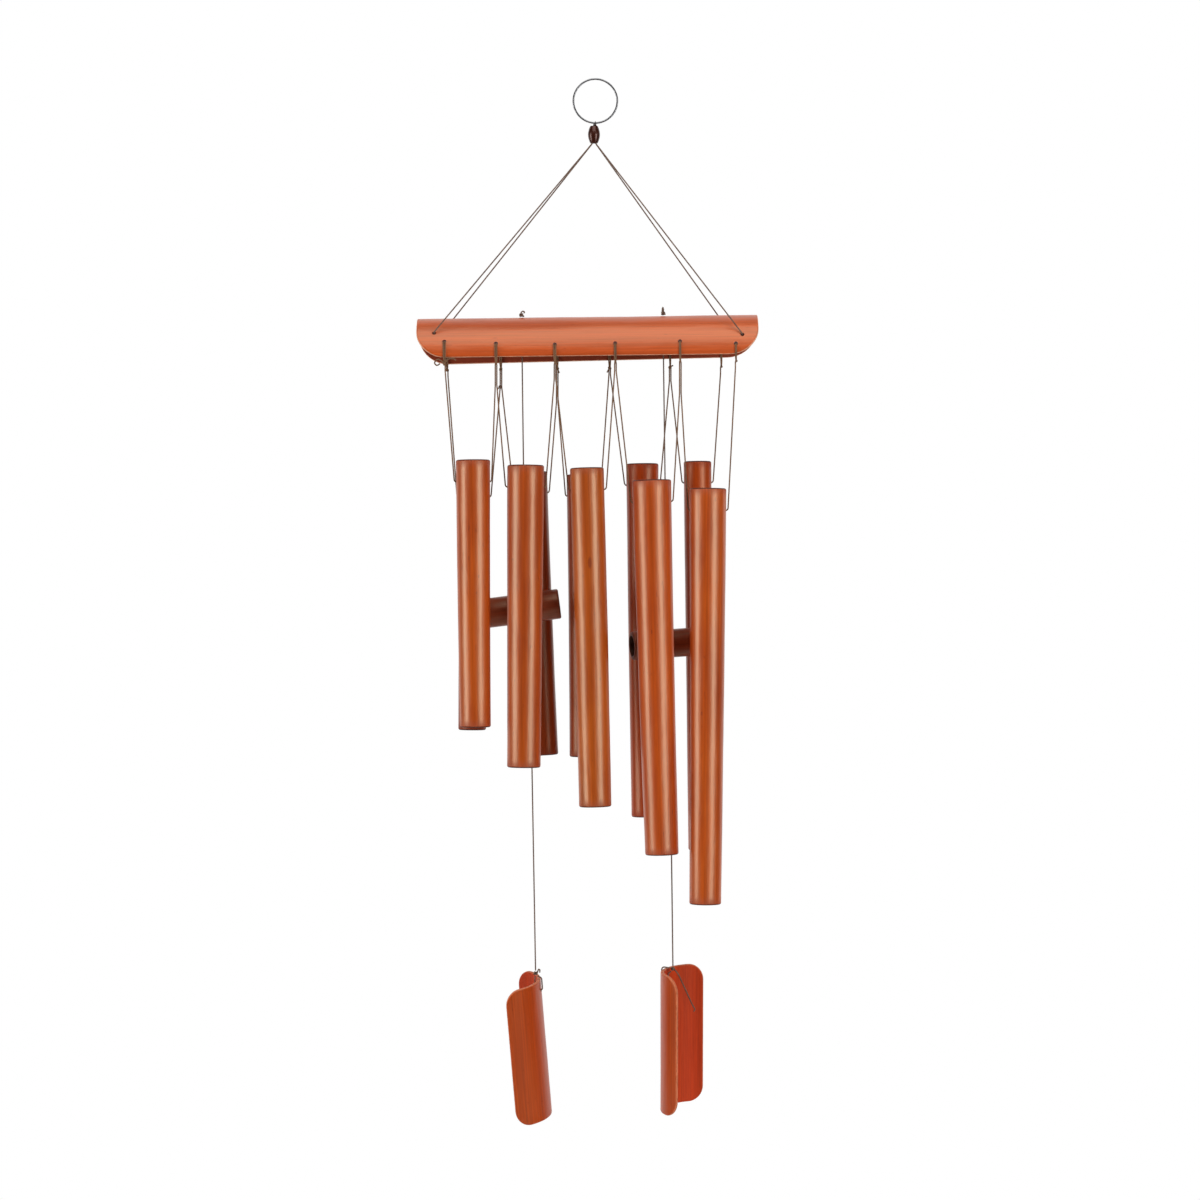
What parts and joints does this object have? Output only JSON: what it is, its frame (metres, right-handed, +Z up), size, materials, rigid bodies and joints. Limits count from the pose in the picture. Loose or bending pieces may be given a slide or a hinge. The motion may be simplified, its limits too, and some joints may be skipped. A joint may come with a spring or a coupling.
{
  "type": "wind chime",
  "caption": "Hanging bamboo wind chime with a ring, a half-round top bar, tubes strung in front and behind, and strikers and curved sails on cords between them.",
  "frame": {"origin": "inside top of the ring, where it rests on its hook", "axes": "+Z up; +X along the top bar towards the longer tubes; -Y towards the viewer"},
  "size_m": [0.2547, 0.0953, 0.7851],
  "materials": {
    "ring_chrome": "polished wire",
    "bead_wood": "dark stained, glossy lacquer",
    "cord": "twisted waxed cord",
    "bar_bamboo": "stained bamboo, satin lacquer",
    "tube_bamboo": "stained bamboo, semi-gloss lacquer",
    "striker_bamboo": "dark stained bamboo, satin",
    "sail_bamboo": "stained bamboo, satin lacquer"
  },
  "bodies": {
    "ring": {"hanging_ring": "ring_chrome"},
    "ring_loop": {"ring_loop": "cord"},
    "bead": {"bead": "bead_wood"},
    "bar": {"top_bar": "bar_bamboo", "hanger_cord_front_left": "cord", "hanger_cord_front_right": "cord", "hanger_cord_back_left": "cord", "hanger_cord_back_right": "cord", "front_tie_1": "cord", "front_tie_2": "cord", "front_tie_3": "cord", "front_tie_4": "cord", "front_tie_5": "cord", "front_tie_6": "cord", "back_tie_1": "cord", "back_tie_2": "cord", "back_tie_3": "cord", "back_tie_4": "cord", "back_tie_5": "cord", "back_tie_6": "cord"},
    "left_top_knot": {"left_top_knot": "cord"},
    "left_striker_cord": {"left_striker_cord": "cord"},
    "left_striker": {"left_striker": "striker_bamboo"},
    "left_striker_knot": {"left_striker_knot": "cord"},
    "left_sail_cord": {"left_sail_cord": "cord"},
    "left_sail_knot": {"left_sail_knot": "cord"},
    "left_sail": {"left_sail": "sail_bamboo", "left_sail_loop": "cord"},
    "right_top_knot": {"right_top_knot": "cord"},
    "right_striker_cord": {"right_striker_cord": "cord"},
    "right_striker": {"right_striker": "striker_bamboo"},
    "right_striker_knot": {"right_striker_knot": "cord"},
    "right_sail_cord": {"right_sail_cord": "cord"},
    "right_sail_knot": {"right_sail_knot": "cord"},
    "right_sail": {"right_sail": "sail_bamboo", "right_sail_loop": "cord"},
    "front_tube_cord_1": {"front_tube_cord_1": "cord"},
    "front_tube_1": {"front_tube_1": "tube_bamboo"},
    "front_tube_cord_2": {"front_tube_cord_2": "cord"},
    "front_tube_2": {"front_tube_2": "tube_bamboo"},
    "front_tube_cord_3": {"front_tube_cord_3": "cord"},
    "front_tube_3": {"front_tube_3": "tube_bamboo"},
    "front_tube_cord_4": {"front_tube_cord_4": "cord"},
    "front_tube_4": {"front_tube_4": "tube_bamboo"},
    "front_tube_cord_5": {"front_tube_cord_5": "cord"},
    "front_tube_5": {"front_tube_5": "tube_bamboo"},
    "back_tube_cord_1": {"back_tube_cord_1": "cord"},
    "back_tube_1": {"back_tube_1": "tube_bamboo"},
    "back_tube_cord_2": {"back_tube_cord_2": "cord"},
    "back_tube_2": {"back_tube_2": "tube_bamboo"},
    "back_tube_cord_3": {"back_tube_cord_3": "cord"},
    "back_tube_3": {"back_tube_3": "tube_bamboo"},
    "back_tube_cord_4": {"back_tube_cord_4": "cord"},
    "back_tube_4": {"back_tube_4": "tube_bamboo"},
    "back_tube_cord_5": {"back_tube_cord_5": "cord"},
    "back_tube_5": {"back_tube_5": "tube_bamboo"}
  },
  "joints": [
    {"name": "chime_fore_aft", "type": "hinge", "parent": "ring", "child": "ring_loop", "pos_m": [0, 0, -0.0322], "axis": [1, 0, 0], "range_deg": [-25, 25]},
    {"name": "chime_sideways", "type": "hinge", "parent": "ring_loop", "child": "bead", "pos_m": [0, 0, -0.0322], "axis": [0, 1, 0], "range_deg": [-20, 20]},
    {"name": "chime_turn", "type": "hinge", "parent": "bead", "child": "bar", "pos_m": [-0.001, 0, -0.0473], "axis": [0, 0, 1], "range_deg": [-30, 30]},
    {"name": "left_striker_fore_aft", "type": "hinge", "parent": "bar", "child": "left_top_knot", "pos_m": [-0.0553, 0, -0.18], "axis": [1, 0, 0], "range_deg": [-1.4, 1.4]},
    {"name": "left_striker_sideways", "type": "hinge", "parent": "left_top_knot", "child": "left_striker_cord", "pos_m": [-0.0553, 0, -0.18], "axis": [0, 1, 0], "range_deg": [-6, 12]},
    {"name": "left_striker_turn", "type": "hinge", "parent": "left_striker_cord", "child": "left_striker", "pos_m": [-0.0511, 0, -0.396], "axis": [-0.1305, 0, 0.9914], "range_deg": [-8, 8]},
    {"name": "left_sail_fore_aft", "type": "hinge", "parent": "left_striker_cord", "child": "left_striker_knot", "pos_m": [-0.04939, 0, -0.40899], "axis": [1, 0, 0], "range_deg": [-6, 6]},
    {"name": "left_sail_sideways", "type": "hinge", "parent": "left_striker_knot", "child": "left_sail_cord", "pos_m": [-0.04939, 0, -0.40899], "axis": [0, 1, 0], "range_deg": [-10, 25]},
    {"name": "left_sail_spin", "type": "hinge", "parent": "left_sail_cord", "child": "left_sail_knot", "pos_m": [-0.0448, 0, -0.6699], "axis": [-0.0176, 0, 0.9998], "continuous": true},
    {"name": "left_sail_nod", "type": "hinge", "parent": "left_sail_knot", "child": "left_sail", "pos_m": [-0.0448, 0, -0.6699], "axis": [0.1542, 0.9678, 0.1987], "range_deg": [-15, 15]},
    {"name": "right_striker_fore_aft", "type": "hinge", "parent": "bar", "child": "right_top_knot", "pos_m": [0.0507, 0, -0.17871], "axis": [1, 0, 0], "range_deg": [-0.7, 0.7]},
    {"name": "right_striker_sideways", "type": "hinge", "parent": "right_top_knot", "child": "right_striker_cord", "pos_m": [0.0507, 0, -0.17871], "axis": [0, 1, 0], "range_deg": [-12, 3]},
    {"name": "right_striker_turn", "type": "hinge", "parent": "right_striker_cord", "child": "right_striker", "pos_m": [0.0545, 0, -0.4226], "axis": [-0.0629, -0.0145, 0.9979], "range_deg": [-25, 6]},
    {"name": "right_sail_fore_aft", "type": "hinge", "parent": "right_striker_cord", "child": "right_striker_knot", "pos_m": [0.05529, 0.00018, -0.43522], "axis": [1, 0, 0], "range_deg": [-6, 6]},
    {"name": "right_sail_sideways", "type": "hinge", "parent": "right_striker_knot", "child": "right_sail_cord", "pos_m": [0.05529, 0.00018, -0.43522], "axis": [0, 1, 0], "range_deg": [-25, 10]},
    {"name": "right_sail_spin", "type": "hinge", "parent": "right_sail_cord", "child": "right_sail_knot", "pos_m": [0.0582, 0, -0.6666], "axis": [-0.0126, 0.0008, 0.9999], "continuous": true},
    {"name": "right_sail_nod", "type": "hinge", "parent": "right_sail_knot", "child": "right_sail", "pos_m": [0.0582, 0, -0.6666], "axis": [-0.3778, -0.9199, -0.1048], "range_deg": [-15, 9]},
    {"name": "front_tube_1_swing", "type": "hinge", "parent": "bar", "child": "front_tube_cord_1", "pos_m": [-0.0927, -0.03085, -0.21526], "axis": [0.9999, 0, 0.0122], "range_deg": [-35, 1.2]},
    {"name": "front_tube_2_swing", "type": "hinge", "parent": "bar", "child": "front_tube_cord_2", "pos_m": [-0.0517, -0.03085, -0.21476], "axis": [0.9999, 0, 0.0122], "range_deg": [-35, 1.2]},
    {"name": "front_tube_3_swing", "type": "hinge", "parent": "bar", "child": "front_tube_cord_3", "pos_m": [-0.00745, -0.03085, -0.21422], "axis": [0.9999, 0, 0.0122], "range_deg": [-35, 2]},
    {"name": "front_tube_4_swing", "type": "hinge", "parent": "bar", "child": "front_tube_cord_4", "pos_m": [0.03899, -0.03085, -0.21365], "axis": [0.9999, 0, 0.0122], "range_deg": [-35, 0.7]},
    {"name": "front_tube_5_swing", "type": "hinge", "parent": "bar", "child": "front_tube_cord_5", "pos_m": [0.08374, -0.03085, -0.21311], "axis": [0.9999, 0, 0.0122], "range_deg": [-35, 0.7]},
    {"name": "back_tube_1_swing", "type": "hinge", "parent": "bar", "child": "back_tube_cord_1", "pos_m": [-0.09205, 0.03085, -0.21525], "axis": [0.9999, 0, 0.0122], "range_deg": [-1.2, 35]},
    {"name": "back_tube_2_swing", "type": "hinge", "parent": "bar", "child": "back_tube_cord_2", "pos_m": [-0.0503, 0.03085, -0.21474], "axis": [0.9999, 0, 0.0122], "range_deg": [-1.2, 35]},
    {"name": "back_tube_3_swing", "type": "hinge", "parent": "bar", "child": "back_tube_cord_3", "pos_m": [-0.00906, 0.03085, -0.21424], "axis": [0.9999, 0, 0.0122], "range_deg": [-2, 35]},
    {"name": "back_tube_4_swing", "type": "hinge", "parent": "bar", "child": "back_tube_cord_4", "pos_m": [0.03379, 0.03085, -0.21372], "axis": [0.9999, 0, 0.0122], "range_deg": [-1.2, 35]},
    {"name": "back_tube_5_swing", "type": "hinge", "parent": "bar", "child": "back_tube_cord_5", "pos_m": [0.07614, 0.03085, -0.2132], "axis": [0.9999, 0, 0.0122], "range_deg": [-0.7, 35]},
    {"name": "front_tube_1_rock", "type": "hinge", "parent": "front_tube_cord_1", "child": "front_tube_1", "pos_m": [-0.09065, -0.03085, -0.3026], "axis": [1, 0, 0.0091], "range_deg": [-20, 1.5]},
    {"name": "front_tube_2_rock", "type": "hinge", "parent": "front_tube_cord_2", "child": "front_tube_2", "pos_m": [-0.0517, -0.03085, -0.3065], "axis": [1, 0, -0.0058], "range_deg": [-20, 1.5]},
    {"name": "front_tube_3_rock", "type": "hinge", "parent": "front_tube_cord_3", "child": "front_tube_3", "pos_m": [-0.00579, -0.03085, -0.3085], "axis": [0.9997, 0, 0.0251], "range_deg": [-20, 2]},
    {"name": "front_tube_4_rock", "type": "hinge", "parent": "front_tube_cord_4", "child": "front_tube_4", "pos_m": [0.04205, -0.03085, -0.31749], "axis": [0.9996, 0, 0.0273], "range_deg": [-20, 0.8]},
    {"name": "front_tube_5_rock", "type": "hinge", "parent": "front_tube_cord_5", "child": "front_tube_5", "pos_m": [0.08359, -0.03085, -0.3237], "axis": [1, 0, -0.0068], "range_deg": [-20, 0.8]},
    {"name": "back_tube_1_rock", "type": "hinge", "parent": "back_tube_cord_1", "child": "back_tube_1", "pos_m": [-0.09212, 0.03085, -0.3119], "axis": [1, 0, -0.0072], "range_deg": [-1.5, 20]},
    {"name": "back_tube_2_rock", "type": "hinge", "parent": "back_tube_cord_2", "child": "back_tube_2", "pos_m": [-0.04845, 0.03085, -0.30928], "axis": [0.999, 0, 0.0456], "range_deg": [-1.5, 20]},
    {"name": "back_tube_3_rock", "type": "hinge", "parent": "back_tube_cord_3", "child": "back_tube_3", "pos_m": [-0.0095, 0.03085, -0.3113], "axis": [1, 0, 0.0061], "range_deg": [-2, 20]},
    {"name": "back_tube_4_rock", "type": "hinge", "parent": "back_tube_cord_4", "child": "back_tube_4", "pos_m": [0.03567, 0.03085, -0.303], "axis": [0.9999, 0, 0.0101], "range_deg": [-1, 20]},
    {"name": "back_tube_5_rock", "type": "hinge", "parent": "back_tube_cord_5", "child": "back_tube_5", "pos_m": [0.07756, 0.03085, -0.3012], "axis": [1, 0, 0.0098], "range_deg": [-0.8, 20]}
  ]
}
